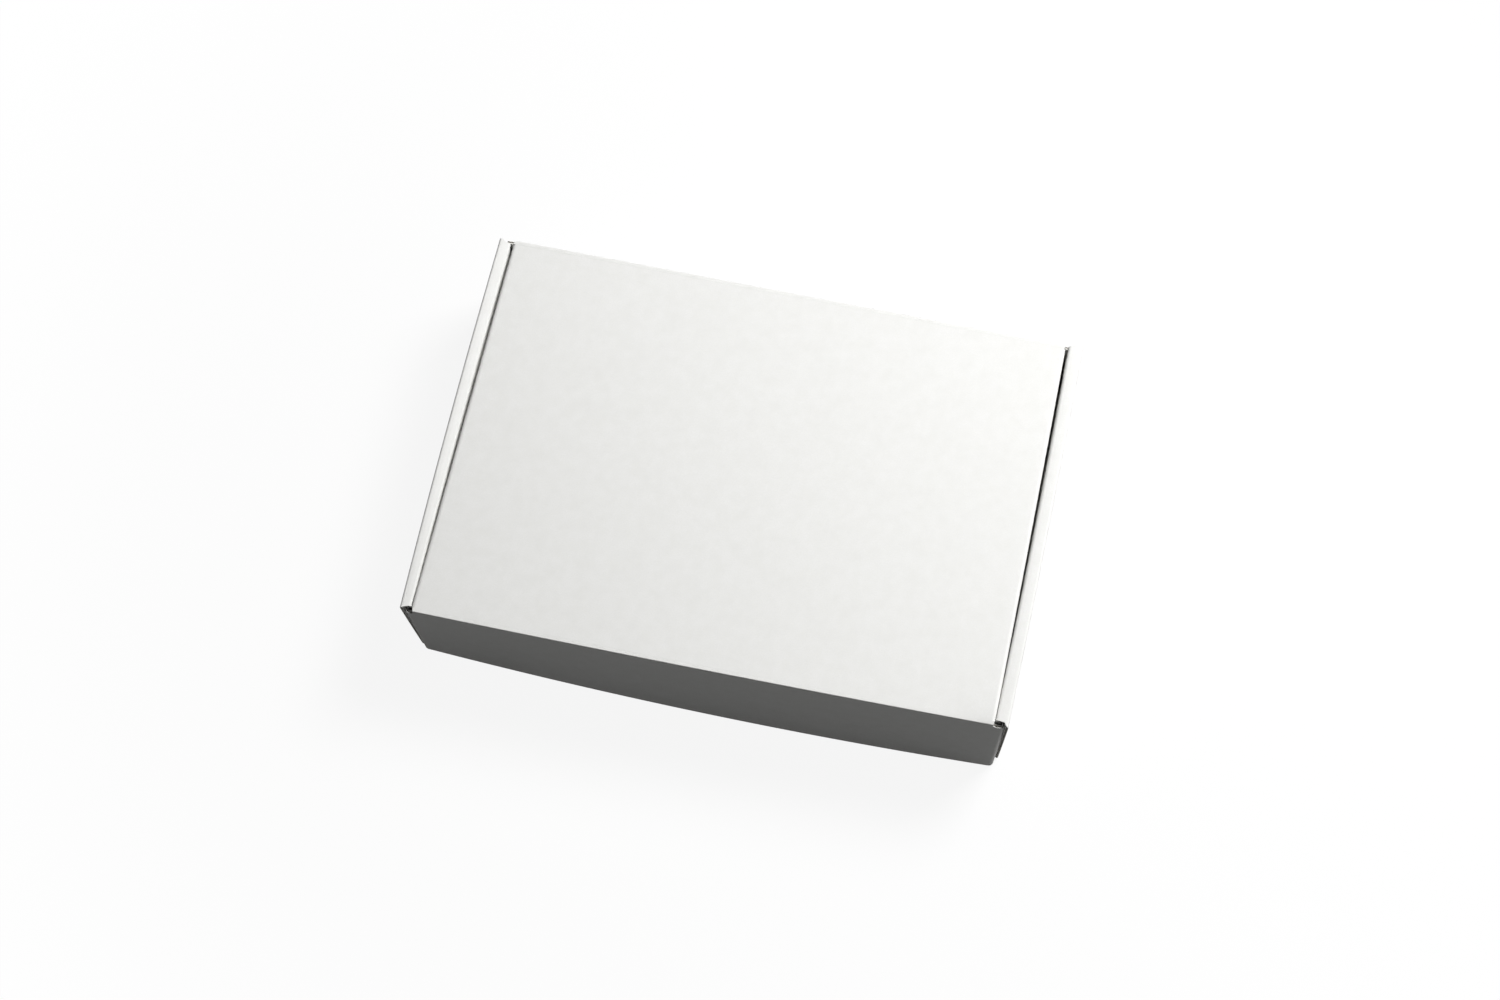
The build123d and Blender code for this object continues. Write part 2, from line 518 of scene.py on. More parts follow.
@dataclass
class Panel:
    """One panel of board: a middle surface over u, across the flutes, and v, along them.

    Attributes:
        place: Middle surface in millimetres.
        u: Rising mesh lines across the flutes.
        low: Lower end along the flutes, for each u.
        high: Upper end along the flutes, for each u.
        shares: Mesh lines along the flutes, from 0 at the lower end to 1 at the upper.
        open_edges: Ends that are cut, and so show the flutes.
        u_folds: Places of folds across u, where the board is scored thinner.
        v_folds: Places of folds across v.
        capped: Which of the first u (0) and the last (-1) are cut edges.
    """

    place: Surface
    u: Array
    low: Limit
    high: Limit
    shares: Array
    open_edges: Sequence[Edge] = (Edge.LOW, Edge.HIGH)
    u_folds: Sequence[float] = ()
    v_folds: Sequence[float] = ()
    capped: Sequence[int] = ()

    def inside_of(self, fold: float, across_u: bool) -> int:
        """Tells which side of the surface a fold closes on.

        Args:
            fold: Place of the fold.
            across_u: Whether the fold is a line of steady u, rather than of steady v.

        Returns:
            1 if it is the side that the normals point to, else -1.
        """
        middle = np.array([self.u.mean()])
        v = (self.low(middle) + self.high(middle)) / 2
        u, v = (np.array([fold]), v) if across_u else (middle, np.array([fold]))
        step = (FOLD_STEP, 0.0) if across_u else (0.0, FOLD_STEP)
        ahead = self.place(u + step[0], v + step[1])
        behind = self.place(u - step[0], v - step[1])
        bend = ahead + behind - 2 * self.place(u, v)
        return 1 if np.sum(bend * surface_normals(self.place, u, v)) > 0 else -1

    def half_thickness(self, u: Array, v: Array, board: Board, side: int) -> Array:
        """Half the thickness on one side: full, less a round dent at each scored fold.

        With d the distance to a fold as a share of fold_press_width, the dent takes away
        press x exp(-d^2) of it.

        Args:
            u: Places across the flutes.
            v: Places along the flutes.
            board: The board's make-up.
            side: 1 for the side that the normals point to, else -1.

        Returns:
            The half thickness at each place.
        """
        share = np.ones(np.broadcast(u, v).shape)
        for folds, along, across_u in ((self.u_folds, u, True), (self.v_folds, v, False)):
            for fold in folds:
                inside = self.inside_of(fold, across_u) == side
                press = board.fold_press if inside else board.fold_dent
                share -= press * np.exp(-(((along - fold) / board.fold_press_width) ** 2))
        return board.thickness / 2 * share

    def add(self, stock: MeshStock, board: Board) -> None:
        """Adds both liners, the flutes at cut ends and the caps along cut sides to a mesh.

        Args:
            stock: The mesh to add to.
            board: The board's make-up.
        """
        u = np.repeat(self.u[:, None], len(self.shares), axis=1)
        low, high = self.low(self.u)[:, None], self.high(self.u)[:, None]
        v = low + (high - low) * self.shares[None, :]
        middle = self.place(u, v)
        normal = surface_normals(self.place, u, v)
        flat = np.stack([u, v], -1)
        for side in (1, -1):
            half = self.half_thickness(u, v, board, side)[..., None]
            outer = middle + normal * half * side
            inner = middle + normal * (half - board.liner) * side
            stock.slab(*((outer, inner) if side > 0 else (inner, outer)), flat, Paper.LINER)
        for edge in self.open_edges:
            self.add_flutes(stock, board, edge)
        for end in self.capped:
            self.add_cap(stock, board, end)

    def add_flutes(self, stock: MeshStock, board: Board, edge: Edge) -> None:
        """Adds the fluted sheet along one cut edge, as a sine wave between the liners.

        Args:
            stock: The mesh to add to.
            board: The board's make-up.
            edge: Which end of the flutes is cut.
        """
        waves = (self.u[-1] - self.u[0]) / board.pitch
        count = max(FEWEST_POINTS, int(waves * WAVE_POINTS))
        u = np.linspace(self.u[0] + board.recess, self.u[-1] - board.recess, count)
        low, high = self.low(u), self.high(u)
        reach = np.minimum(board.flute_reach, FLUTE_SHARE * np.abs(high - low))
        end = high if edge is Edge.HIGH else low
        inward = -np.sign(high - low) * edge.value
        # Ordered so that v rises, whichever end is cut
        depth = np.array([0.0, 1.0])[:: -edge.value]
        v = end[:, None] + inward[:, None] * (board.recess + reach[:, None] * depth[None, :])
        u = np.repeat(u[:, None], len(depth), axis=1)
        middle = self.place(u, v)
        normal = surface_normals(self.place, u, v)
        upper, lower = (self.half_thickness(u, v, board, side) - board.liner for side in (1, -1))
        half = board.medium / 2
        crest = np.maximum((upper + lower) / 2 - half, 0)
        wave = ((upper - lower) / 2 + crest * np.sin(2 * np.pi * u / board.pitch))[..., None]
        flat = np.stack([u, v], -1)
        top, bottom = middle + normal * (wave + half), middle + normal * (wave - half)
        stock.slab(top, bottom, flat, Paper.MEDIUM)

    def add_cap(self, stock: MeshStock, board: Board, end: int) -> None:
        """Adds the last flute's side along a cut edge that runs with the flutes.

        Args:
            stock: The mesh to add to.
            board: The board's make-up.
            end: 0 for the first u, or -1 for the last.
        """
        inward = 1 if end == 0 else -1
        first = self.u[end] + inward * board.recess
        lines = sorted((first, first + inward * board.medium))
        low, high = (limit(np.array([first]))[0] for limit in (self.low, self.high))
        v = low + (high - low) * self.shares
        grids = []
        for u_line in lines:
            u = np.full(v.shape, u_line)
            middle = self.place(u, v)
            core = surface_normals(self.place, u, v) * board.core_half
            grids.append(np.stack([middle - core, middle + core]))
        flat = np.stack([np.stack([np.full(v.shape, line), v], -1) for line in lines])
        stock.slab(grids[0], grids[1], flat, Paper.MEDIUM)


def lifted(line: FoldedLine, axes: str, sign: float = 1.0) -> Surface:
    """Surface that carries a folded line straight along the axis that it leaves out.

    Args:
        line: The folded line.
        axes: The two axes of the line's plane, such as "xz".
        sign: -1 mirrors the surface in X.

    Returns:
        A surface of (length along the line, place along the other axis).
    """
    first, second = ("xyz".index(axis) for axis in axes)
    other = ({0, 1, 2} - {first, second}).pop()

    def place(u: Array, v: Array) -> Array:
        """Points of the carried line.

        Args:
            u: Lengths along the line.
            v: Places along the other axis.

        Returns:
            Points, with a last axis of three.
        """
        flat = line.at(u)
        point = np.empty(flat.shape[:-1] + (3,))
        point[..., first] = flat[..., 0]
        point[..., second] = flat[..., 1]
        point[..., other] = v
        point[..., 0] *= sign
        return point

    return place


@dataclass(frozen=True)
class Spread:
    """The ease of a folded box, whose walls stand a little wider at the top than the floor.

    Attributes:
        left: How far the left wall's foot draws in.
        right: How far the right wall's foot draws in.
        front: How far the front crease stands forward, at the left, middle and right.
        rear: How far the rear crease stands back, likewise.
        fade_reach: How far from a crease that fades out.
        wall_ease: How far the inner folds of the ledges are pushed out, at the front, middle
            and back, left and right.
        lid_ease: How far the lid's sides come out, likewise.
        ease_depth: Depth under the top where the push fades out.
        corner_lift: How far the lid stands up behind its front right corner.
        lift_back: Distance behind the front face where it stands highest.
        lift_side: Distance from the lid's side over which that falls to about a third.
    """

    left: float = 0.5
    right: float = 2.7
    front: Triple = (0.65, 0.95, -0.1)
    rear: Triple = (1.5, 1.1, 0.6)
    fade_reach: float = 60.0
    wall_ease: tuple[Triple, Triple] = ((1.0, 1.25, 0.4), (0.0, 0.65, -0.1))
    lid_ease: tuple[Triple, Triple] = ((1.25, 1.1, 0.8), (0.45, 0.65, 0.4))
    ease_depth: float = 24.0
    corner_lift: float = 0.6
    lift_back: float = 8.0
    lift_side: float = 12.0

    def along_side(self, values: tuple[Triple, Triple], x: Array, t: Array) -> Array:
        """Parabola through a side's front, middle and back values.

        Args:
            values: The three values of the left side and of the right side.
            x: Points' x, whose sign tells the side.
            t: Share of the depth, 0 at the front and 1 at the back.

        Returns:
            The value at each point.
        """
        return np.where(x < 0, through(values[0], t), through(values[1], t))

    def push(self, values: tuple[Triple, Triple], point: Array, layout: Layout) -> Array:
        """How far a side is pushed out, in full at the top and fading downward.

        Args:
            values: The three values of the left side and of the right side.
            point: Points in millimetres.
            layout: Faces of the box.

        Returns:
            The push at each point.
        """
        depth = layout.rear_face - layout.flap_face
        t = np.clip((point[..., 1] - layout.flap_face) / depth, 0, 1)
        fade = smooth_step(1 - (layout.height - point[..., 2]) / self.ease_depth)
        return self.along_side(values, point[..., 0], t) * fade

    def narrow(self, point: Array, layout: Layout) -> Array:
        """Draws points in towards the middle, in full at the floor and not at all at the top.

        Args:
            point: Points in millimetres, changed in place.
            layout: Faces of the box.

        Returns:
            The same points.
        """
        draw = np.where(point[..., 0] < 0, self.left, self.right) / layout.half_width
        point[..., 0] *= 1 - draw * (1 - point[..., 2] / layout.height)
        return point

    def lift_corner(self, point: Array, layout: Layout, low: float, high: float) -> Array:
        """Raises points behind the lid's front right corner, which stands up a little.

        With b the distance behind the front face as a share of lift_back, and s the distance
        from the lid's side as a share of lift_side, points rise by
        corner_lift x b x exp(1 - b) x exp(-s).

        Args:
            point: Points in millimetres, changed in place.
            layout: Faces of the box.
            low: Height from which down nothing moves.
            high: Height from which up points move in full.

        Returns:
            The same points.
        """
        behind = np.clip(point[..., 1] - layout.flap_face, 0, None) / self.lift_back
        side = np.clip(layout.lid_half_front - point[..., 0], 0, None) / self.lift_side
        share = smooth_step((point[..., 2] - low) / (high - low))
        point[..., 2] += self.corner_lift * behind * np.exp(1 - behind - side) * share
        return point

    def lengthen(self, point: Array, layout: Layout) -> Array:
        """Moves points near the front and rear creases outward, less so further down.

        With n the nearness to a crease, 1 on it and 0 at fade_reach, and h the share of the
        height, points move by the crease's own parabola x n^2 x h^2.

        Args:
            point: Points in millimetres, changed in place.
            layout: Faces of the box.

        Returns:
            The same points.
        """
        across = np.clip(point[..., 0] / layout.half_width, -1, 1) / 2 + 0.5
        high = np.clip(point[..., 2] / layout.height, 0, 1) ** 2
        front = np.clip(1 - (point[..., 1] - layout.flap_face) / self.fade_reach, 0, 1) ** 2
        rear = np.clip(1 - (layout.rear_face - point[..., 1]) / self.fade_reach, 0, 1) ** 2
        back = rear * through(self.rear, across)
        forward = front * through(self.front, across)
        point[..., 1] += high * (back - forward)
        return point


@dataclass
class Tray:
    """Floor, end walls, roll-over side walls, corner ears and lock tabs.

    Attributes:
        layout: Faces of the box.
        wall_setback: How far the side walls' front edges stand behind the flap's face.
        front_mitres: How far each ledge's front end is cut back, at its outer and inner fold,
            left and right.
        back_mitres: How far its back end is cut back, likewise.
        back_reach: How far each side's top reaches behind the rear wall's face.
        end_gap: Gap from an inner wall to the end walls.
        foot_gap: Gap from an inner wall's foot to the floor.
        tab_length: Length of a lock tab.
        tab_spacing: Distance between the two tabs of a side.
        tab_recess: Height of a tab's tip over the ground.
        slot_clearance: Room round a tab in its slot.
        ear_length: Length of a corner ear.
        ear_taper: Slope at a corner ear's free corners.
        ear_top_gap: How far a corner ear stays below its wall's top.
        ear_floor_gap: How far a corner ear stays over the floor.
        bulge: How far the outer walls bulge at half length, left and right.
        end_draw: How far the ledges' outer edges draw in at (front, back), left and right.
        ledge_crown: How far a ledge stands up between its two folds.
        ledge_tilt: How far a ledge's inner fold lies below its outer one at the front and over
            the rest, left and right.
        tilt_rise: Share of the depth over which the tilt goes from one to the other.
        end_jump: Length over which a side's end goes from one panel's to the next.
        wall_step: Longest mesh step round the side walls and up the end walls.
        floor_step: Longest mesh step across the floor.
        ear_step: Longest mesh step along a corner ear.
        side_rows: Mesh lines along a side wall.
        floor_rows: Mesh lines along the floor.
        short_rows: Mesh lines up a corner ear, and along the floor beside a tab.
        wall_lines: Mesh lines across an end wall.
        tab_lines: Mesh lines down a lock tab.
        tab_rows: Mesh lines along it.
        spread: The box's ease.
    """

    layout: Layout
    wall_setback: float = 0.2
    front_mitres: tuple[Pair, Pair] = ((0.5, 1.3), (1.8, 2.0))
    back_mitres: tuple[Pair, Pair] = ((0.3, 1.3), (0.2, 1.1))
    back_reach: Pair = (1.3, 1.5)
    end_gap: float = 0.2
    foot_gap: float = 0.2
    tab_length: float = 24.0
    tab_spacing: float = 84.0
    tab_recess: float = 0.1
    slot_clearance: float = 0.05
    ear_length: float = 36.0
    ear_taper: float = 5.0
    ear_top_gap: float = 0.4
    ear_floor_gap: float = 0.8
    bulge: Pair = (0.5, 0.4)
    end_draw: tuple[Pair, Pair] = ((0.5, 0.6), (0.3, 0.0))
    ledge_crown: float = 0.04
    ledge_tilt: tuple[Pair, Pair] = ((0.25, 0.7), (0.0, 0.0))
    tilt_rise: float = 0.35
    end_jump: float = 0.1
    wall_step: float = 6.0
    floor_step: float = 8.0
    ear_step: float = 5.0
    side_rows: int = 33
    floor_rows: int = 25
    short_rows: int = 9
    wall_lines: int = 41
    tab_lines: int = 4
    tab_rows: int = 5
    spread: Spread = Spread()

    def floor_ends(self) -> Pair:
        """Front and back of the floor, where the end walls' folds start."""
        radius = self.layout.board.outside_radius
        return self.layout.front_wall_face + radius, self.layout.rear_face - radius

    def side_line(self) -> FoldedLine:
        """Middle line of the right side: floor, outer wall, ledge, inner wall, tab.

        Returns:
            The line in (x, z), from the box's middle on.
        """
        lay, half = self.layout, self.layout.board.thickness / 2
        outer, inner = lay.half_width - half, lay.inner_face + half
        top = lay.height - half
        corners = [(0, half), (outer, half), (outer, top), (inner, top), (inner, self.tab_recess)]
        return FoldedLine(corners, lay.board.middle_radius)

    def side_place(self, line: FoldedLine, sign: int) -> Surface:
        """Side wall surface, with the easy bulge and lean of a folded outer wall.

        With t the share of the depth, the outer wall's top moves out by bulge x sin(pi t), less
        the front's draw x (1 - t)^4 and the back's draw x t^4. That fades with the square of the
        height and of the place across the ledge. With w the share of the way from the ledge's
        outer fold to its inner one, it rises by crown x sin(pi w)^2 - tilt x w.

        Args:
            line: Middle line of the right side.
            sign: +1 on the right side and -1 on the left.

        Returns:
            A surface of (length along the line, depth).
        """
        lay = self.layout
        base = lifted(line, "xz")
        hand = hand_of(sign)
        bulge, draws, tilts = self.bulge[hand], self.end_draw[hand], self.ledge_tilt[hand]
        folds = line.folds()

        def place(u: Array, v: Array) -> Array:
            """Points of the eased side wall.

            Args:
                u: Lengths along the line.
                v: Depths.

            Returns:
                Points, with a last axis of three.
            """
            point = base(u, v)
            ledge = lay.half_width - lay.inner_face
            outward = np.clip((point[..., 0] - lay.inner_face) / ledge, 0, 1)
            rise = np.clip(point[..., 2] / lay.height, 0, 1)
            along = np.clip((v - lay.flap_face) / (lay.rear_face - lay.flap_face), 0, 1)
            swell = bulge * np.sin(np.pi * along)
            pull = draws[0] * (1 - along) ** 4 + draws[1] * along ** 4
            point[..., 0] += outward ** 2 * rise ** 2 * (swell - pull)
            over = np.clip((u - folds[1]) / (folds[2] - folds[1]), 0, 1)
            tilt = tilts[0] + (tilts[1] - tilts[0]) * smooth_step(along / self.tilt_rise)
            point[..., 2] += self.ledge_crown * np.sin(np.pi * over) ** 2 - tilt * over
            point[..., 0] *= sign
            push = self.spread.push(self.spread.wall_ease, point, lay)
            point[..., 0] += sign * smooth_step(over) * push
            return self.spread.narrow(point, lay)

        return place

    def side_limits(self, line: FoldedLine, sign: int) -> list[Limit]:
        """Ends of a side along its line: floor strip, outer wall, mitred ledge and inner wall.

        Args:
            line: Middle line of the right side.
            sign: +1 on the right side and -1 on the left.

        Returns:
            The limits at the front and at the back.
        """
        lay, board = self.layout, self.layout.board
        hand = hand_of(sign)
        floor_end, wall_end = line.run_ends[:2]
        ledge_start, inner_start = line.run_starts[2:4]
        shoulder = ledge_start + board.thickness - board.middle_radius
        places = [floor_end, floor_end + self.end_jump, wall_end, (wall_end + ledge_start) / 2,
                  shoulder, inner_start, inner_start + self.end_jump]
        floor_front, floor_back = self.floor_ends()
        front = (floor_front, lay.flap_face + self.wall_setback, lay.front_wall_inside + self.end_gap)
        back = (floor_back, lay.rear_face, lay.rear_wall_inside - self.end_gap)
        limits = []
        for (floor_y, wall_y, inner_y), inward, cuts, reach in (
            (front, 1, self.front_mitres[hand], 0.0),
            (back, -1, self.back_mitres[hand], self.back_reach[hand]),
        ):
            top_y = wall_y - inward * reach
            ledge_y, ledge_inner_y = (top_y + inward * cut for cut in cuts)
            ends = [floor_y, wall_y, top_y, top_y, ledge_y, ledge_inner_y, inner_y]
            limits.append(stepped(places, ends))
        return limits

    def add_side(self, stock: MeshStock, sign: int) -> None:
        """Adds one side: the floor's edge strip, the roll-over wall and its lock tabs.

        Args:
            stock: The mesh to add to.
            sign: +1 on the right side and -1 on the left.
        """
        lay, board = self.layout, self.layout.board
        line = self.side_line()
        place = self.side_place(line, sign)
        foot = line.length - (board.thickness + self.foot_gap - self.tab_recess)
        room = self.slot_clearance
        slot = (lay.inner_face - room, lay.inner_face + board.thickness + room)
        front, back = self.side_limits(line, sign)
        Panel(place, line.knots(slot[1], foot, self.wall_step), front, back,
              even_shares(self.side_rows), u_folds=line.folds(), capped=(0, -1)).add(stock, board)
        middle = (lay.front_wall_inside + lay.rear_wall_inside) / 2
        tabs = [middle - self.tab_spacing / 2, middle + self.tab_spacing / 2]
        reach = self.tab_length / 2
        for tab in tabs:
            Panel(place, np.linspace(foot, line.length, self.tab_lines),
                  steady(tab - reach), steady(tab + reach),
                  even_shares(self.tab_rows), capped=(-1,)).add(stock, board)
        gap = reach + room
        start, end = self.floor_ends()
        cuts = [start, tabs[0] - gap, tabs[0] + gap, tabs[1] - gap, tabs[1] + gap, end]
        for low, high in zip(cuts[::2], cuts[1::2]):
            Panel(place, np.array(slot), steady(low), steady(high),
                  even_shares(self.short_rows)).add(stock, board)

    def add_floor(self, stock: MeshStock) -> None:
        """Adds the floor between the slots.

        Args:
            stock: The mesh to add to.
        """
        lay, board = self.layout, self.layout.board
        edge = lay.inner_face - self.slot_clearance
        half = board.thickness / 2
        flat = FoldedLine([(-edge, half), (edge, half)], board.middle_radius)
        base = lifted(flat, "xz")

        def place(u: Array, v: Array) -> Array:
            """Points of the floor, drawn in with the walls' feet."""
            return self.spread.narrow(base(u, v), lay)

        front, back = self.floor_ends()
        Panel(place, flat.knots(0, flat.length, self.floor_step), steady(front), steady(back),
              even_shares(self.floor_rows), open_edges=()).add(stock, board)

    def add_end_wall(self, stock: MeshStock, inward: int) -> None:
        """Adds the front wall or the rear wall, with both corner ears.

        Args:
            stock: The mesh to add to.
            inward: +1 for the front wall and -1 for the rear wall.
        """
        lay, board = self.layout, self.layout.board
        half = board.thickness / 2
        top = lay.front_wall_top if inward > 0 else lay.crease_edge
        face = lay.front_wall_face if inward > 0 else lay.rear_face
        middle = face + inward * half
        fold_start = face + inward * board.outside_radius
        line = FoldedLine([(fold_start, half), (middle, half), (middle, top)], board.middle_radius)
        span = lay.lock_ear_face - lay.layer_slip - board.outside_radius

        def ease(point: Array) -> Array:
            """Moves points with the ease of the box."""
            return self.spread.lengthen(self.spread.narrow(point, lay), lay)

        def wall(u: Array, v: Array) -> Array:
            """Points of the wall, at x of u and the length v along its line."""
            flat = line.at(v)
            return ease(np.stack([u, flat[..., 0], flat[..., 1]], -1))

        lengths = line.knots(0, line.length, self.wall_step)
        Panel(wall, np.linspace(-span, span, self.wall_lines), steady(0), steady(line.length),
              lengths / line.length, (Edge.HIGH,), v_folds=line.folds()).add(stock, board)
        ear_middle = lay.corner_ear_face + half
        tip = middle + inward * self.ear_length
        ear = FoldedLine([(span, middle), (ear_middle, middle), (ear_middle, tip)], board.middle_radius)
        low, high = board.thickness + self.ear_floor_gap, top - self.ear_top_gap
        slope = ear.length - self.ear_taper

        def ear_place(sign: int) -> Surface:
            """Surface of the ear at the right end (+1) or the left (-1)."""
            side = lifted(ear, "xy", sign)
            return lambda u, v: ease(side(u, v))

        for sign in (1, -1):
            Panel(ear_place(sign), ear.knots(0, ear.length, self.ear_step),
                  stepped([slope, ear.length], [low, low + self.ear_taper]),
                  stepped([slope, ear.length], [high, high - self.ear_taper]),
                  even_shares(self.short_rows), u_folds=ear.folds(), capped=(-1,)).add(stock, board)

    def build(self, materials: Materials) -> bpy.types.Object:
        """Builds the tray as one piece that rides on the tray body.

        Args:
            materials: One material for each paper.

        Returns:
            The linked piece.
        """
        stock = MeshStock()
        self.add_floor(stock)
        for sign in (1, -1):
            self.add_side(stock, sign)
            self.add_end_wall(stock, sign)
        piece = stock.build("tray_board", materials)
        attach(piece, "tray")
        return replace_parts(piece, "tray")


@dataclass
class Lid:
    """Lid panel and the dust flaps that hang inside the side walls.

    Attributes:
        layout: Faces of the box.
        taper: How much narrower each side is at the back.
        dust_depth: Depth of a dust flap under the panel.
        back_gap: Gap from a dust flap to the rear wall.
        back_lean: Lean of its back edge.
        front_gap: Gap from a dust flap to the front wall.
        front_lean: Slope of its front edge.
        front_round: Height of its round lower front corner, as a share of its depth.
        front_cut: How far that corner is cut back, as a share of front_lean.
        back_round: Height of its round lower back corner, as a share of its depth.
        back_cut: How far that corner is cut back.
        notch_start: How far past the side fold a dust flap's own ends take over.
        notch_width: Length over which they do.
        crown: How far the panel stands up at its middle.
        front_share: Share of the sides' ease that the front crease's ends take.
        fold_radius: Radius of the side folds' middle line.
        step: Longest mesh step across the panel.
        rows: Mesh lines from front to back.
        row_power: Power that draws those lines together towards the front.
        spread: The box's ease.
    """

    layout: Layout
    taper: float = 1.2
    dust_depth: float = 40.0
    back_gap: float = 2.0
    back_lean: float = 3.0
    front_gap: float = 6.0
    front_lean: float = 28.0
    front_round: float = 0.35
    front_cut: float = 0.6
    back_round: float = 0.2
    back_cut: float = 8.0
    notch_start: float = 0.3
    notch_width: float = 0.2
    crown: float = 0.25
    front_share: float = 0.4
    fold_radius: float = 0.8
    step: float = 5.0
    rows: int = 41
    row_power: float = 1.5
    spread: Spread = Spread()

    def panel_ends(self) -> Pair:
        """Front and back of the panel, where the crease strips take over."""
        reach = self.layout.board.thickness + self.layout.crease_slip
        return self.layout.flap_face + reach, self.layout.rear_face - reach

    def crease_reaches(self, front: bool) -> Pair:
        """How far a crease reaches to the left and to the right.

        Args:
            front: Whether it is the front crease, whose ends stand in a little from the sides.

        Returns:
            Both reaches.
        """
        half_width, sides = self.layout.lid_half_front, self.spread.lid_ease
        if front:
            return tuple(half_width + self.front_share * side[0] for side in sides)
        return tuple(half_width - self.taper + side[2] for side in sides)

    def place(self, line: FoldedLine) -> Surface:
        """Lid surface: the folded line, drawn in towards the back and slightly crowned.

        With x the share of the half width and b the share of the depth, the sides move out by
        (ease - taper x b) x x^2, and the panel rises by crown x cos(pi x / 2) x sin(pi b).

        Args:
            line: The lid's middle line in (x, z), from one dust flap's free edge to the other's.

        Returns:
            A surface of (length along the line, depth).
        """
        lay = self.layout
        base = lifted(line, "xz")

        def surface(u: Array, v: Array) -> Array:
            """Points of the eased lid.

            Args:
                u: Lengths along the line.
                v: Depths.

            Returns:
                Points, with a last axis of three.
            """
            point = base(u, v)
            back = (v - lay.flap_face) / (lay.rear_face - lay.flap_face)
            across = point[..., 0] / lay.lid_half_front
            widen = self.spread.push(self.spread.lid_ease, point, lay) - self.taper * back
            point[..., 0] += np.sign(across) * across ** 2 * widen
            rise = np.cos(np.pi / 2 * np.clip(across, -1, 1)) * np.sin(np.pi * np.clip(back, 0, 1))
            on_panel = point[..., 2] > lay.lid_underside
            point[..., 2] += self.crown * rise * on_panel
            low, high = lay.lid_underside - lay.board.thickness, lay.lid_underside
            point = self.spread.lift_corner(point, lay, low, high)
            return self.spread.lengthen(self.spread.narrow(point, lay), lay)

        return surface

    def build(self, materials: Materials) -> bpy.types.Object:
        """Builds the lid as one piece that rides on the lid body.

        Args:
            materials: One material for each paper.

        Returns:
            The linked piece.
        """
        lay, board = self.layout, self.layout.board
        half = board.thickness / 2
        middle, top = lay.lid_half_front - half, lay.height - half
        low = lay.lid_underside - self.dust_depth
        corners = [(-middle, low), (-middle, top), (middle, top), (middle, low)]
        line = FoldedLine(corners, self.fold_radius)
        front, back = self.panel_ends()
        fold_in = line.run_ends[0]

        def depth(u: Array) -> Array:
            """Share of a dust flap's depth: 0 on the panel and 1 at the free edge."""
            return np.clip(fold_in - np.minimum(u, line.length - u), 0, fold_in) / fold_in

        def flap_share(u: Array) -> Array:
            """1 on the dust flaps and 0 on the panel."""
            edge = np.minimum(u, line.length - u)
            return np.clip((fold_in + self.notch_start - edge) / self.notch_width, 0, 1)

        def rounded(deep: Array, height: float) -> Array:
            """Rises as a quarter round from 0 to 1 over the last stretch of the depth."""
            share = np.clip((deep - (1 - height)) / height, 0, 1)
            return 1 - np.sqrt(1 - share ** 2)

        def front_end(u: Array) -> Array:
            """Front edge of the panel, or the sloped and rounded one of a dust flap.

            Args:
                u: Lengths along the line.

            Returns:
                The depth where the board ends.
            """
            deep = depth(u)
            cut = self.front_lean * (deep + self.front_cut * rounded(deep, self.front_round))
            slope = lay.front_wall_inside + self.front_gap + cut
            return front + (slope - front) * flap_share(u)

        def back_end(u: Array) -> Array:
            """Back edge of the panel, or the leaning and rounded one of a dust flap.

            Args:
                u: Lengths along the line.

            Returns:
                The depth where the board ends.
            """
            deep = depth(u)
            curve = self.back_cut * rounded(deep, self.back_round)
            lean = lay.rear_wall_inside - self.back_gap - self.back_lean * deep - curve
            return back + (lean - back) * flap_share(u)

        stock = MeshStock()
        Panel(self.place(line), line.knots(0, line.length, self.step), front_end, back_end,
              even_shares(self.rows) ** self.row_power,
              u_folds=line.folds(), capped=(0, -1)).add(stock, board)
        piece = stock.build("lid_board", materials)
        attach(piece, "lid")
        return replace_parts(piece, "lid")


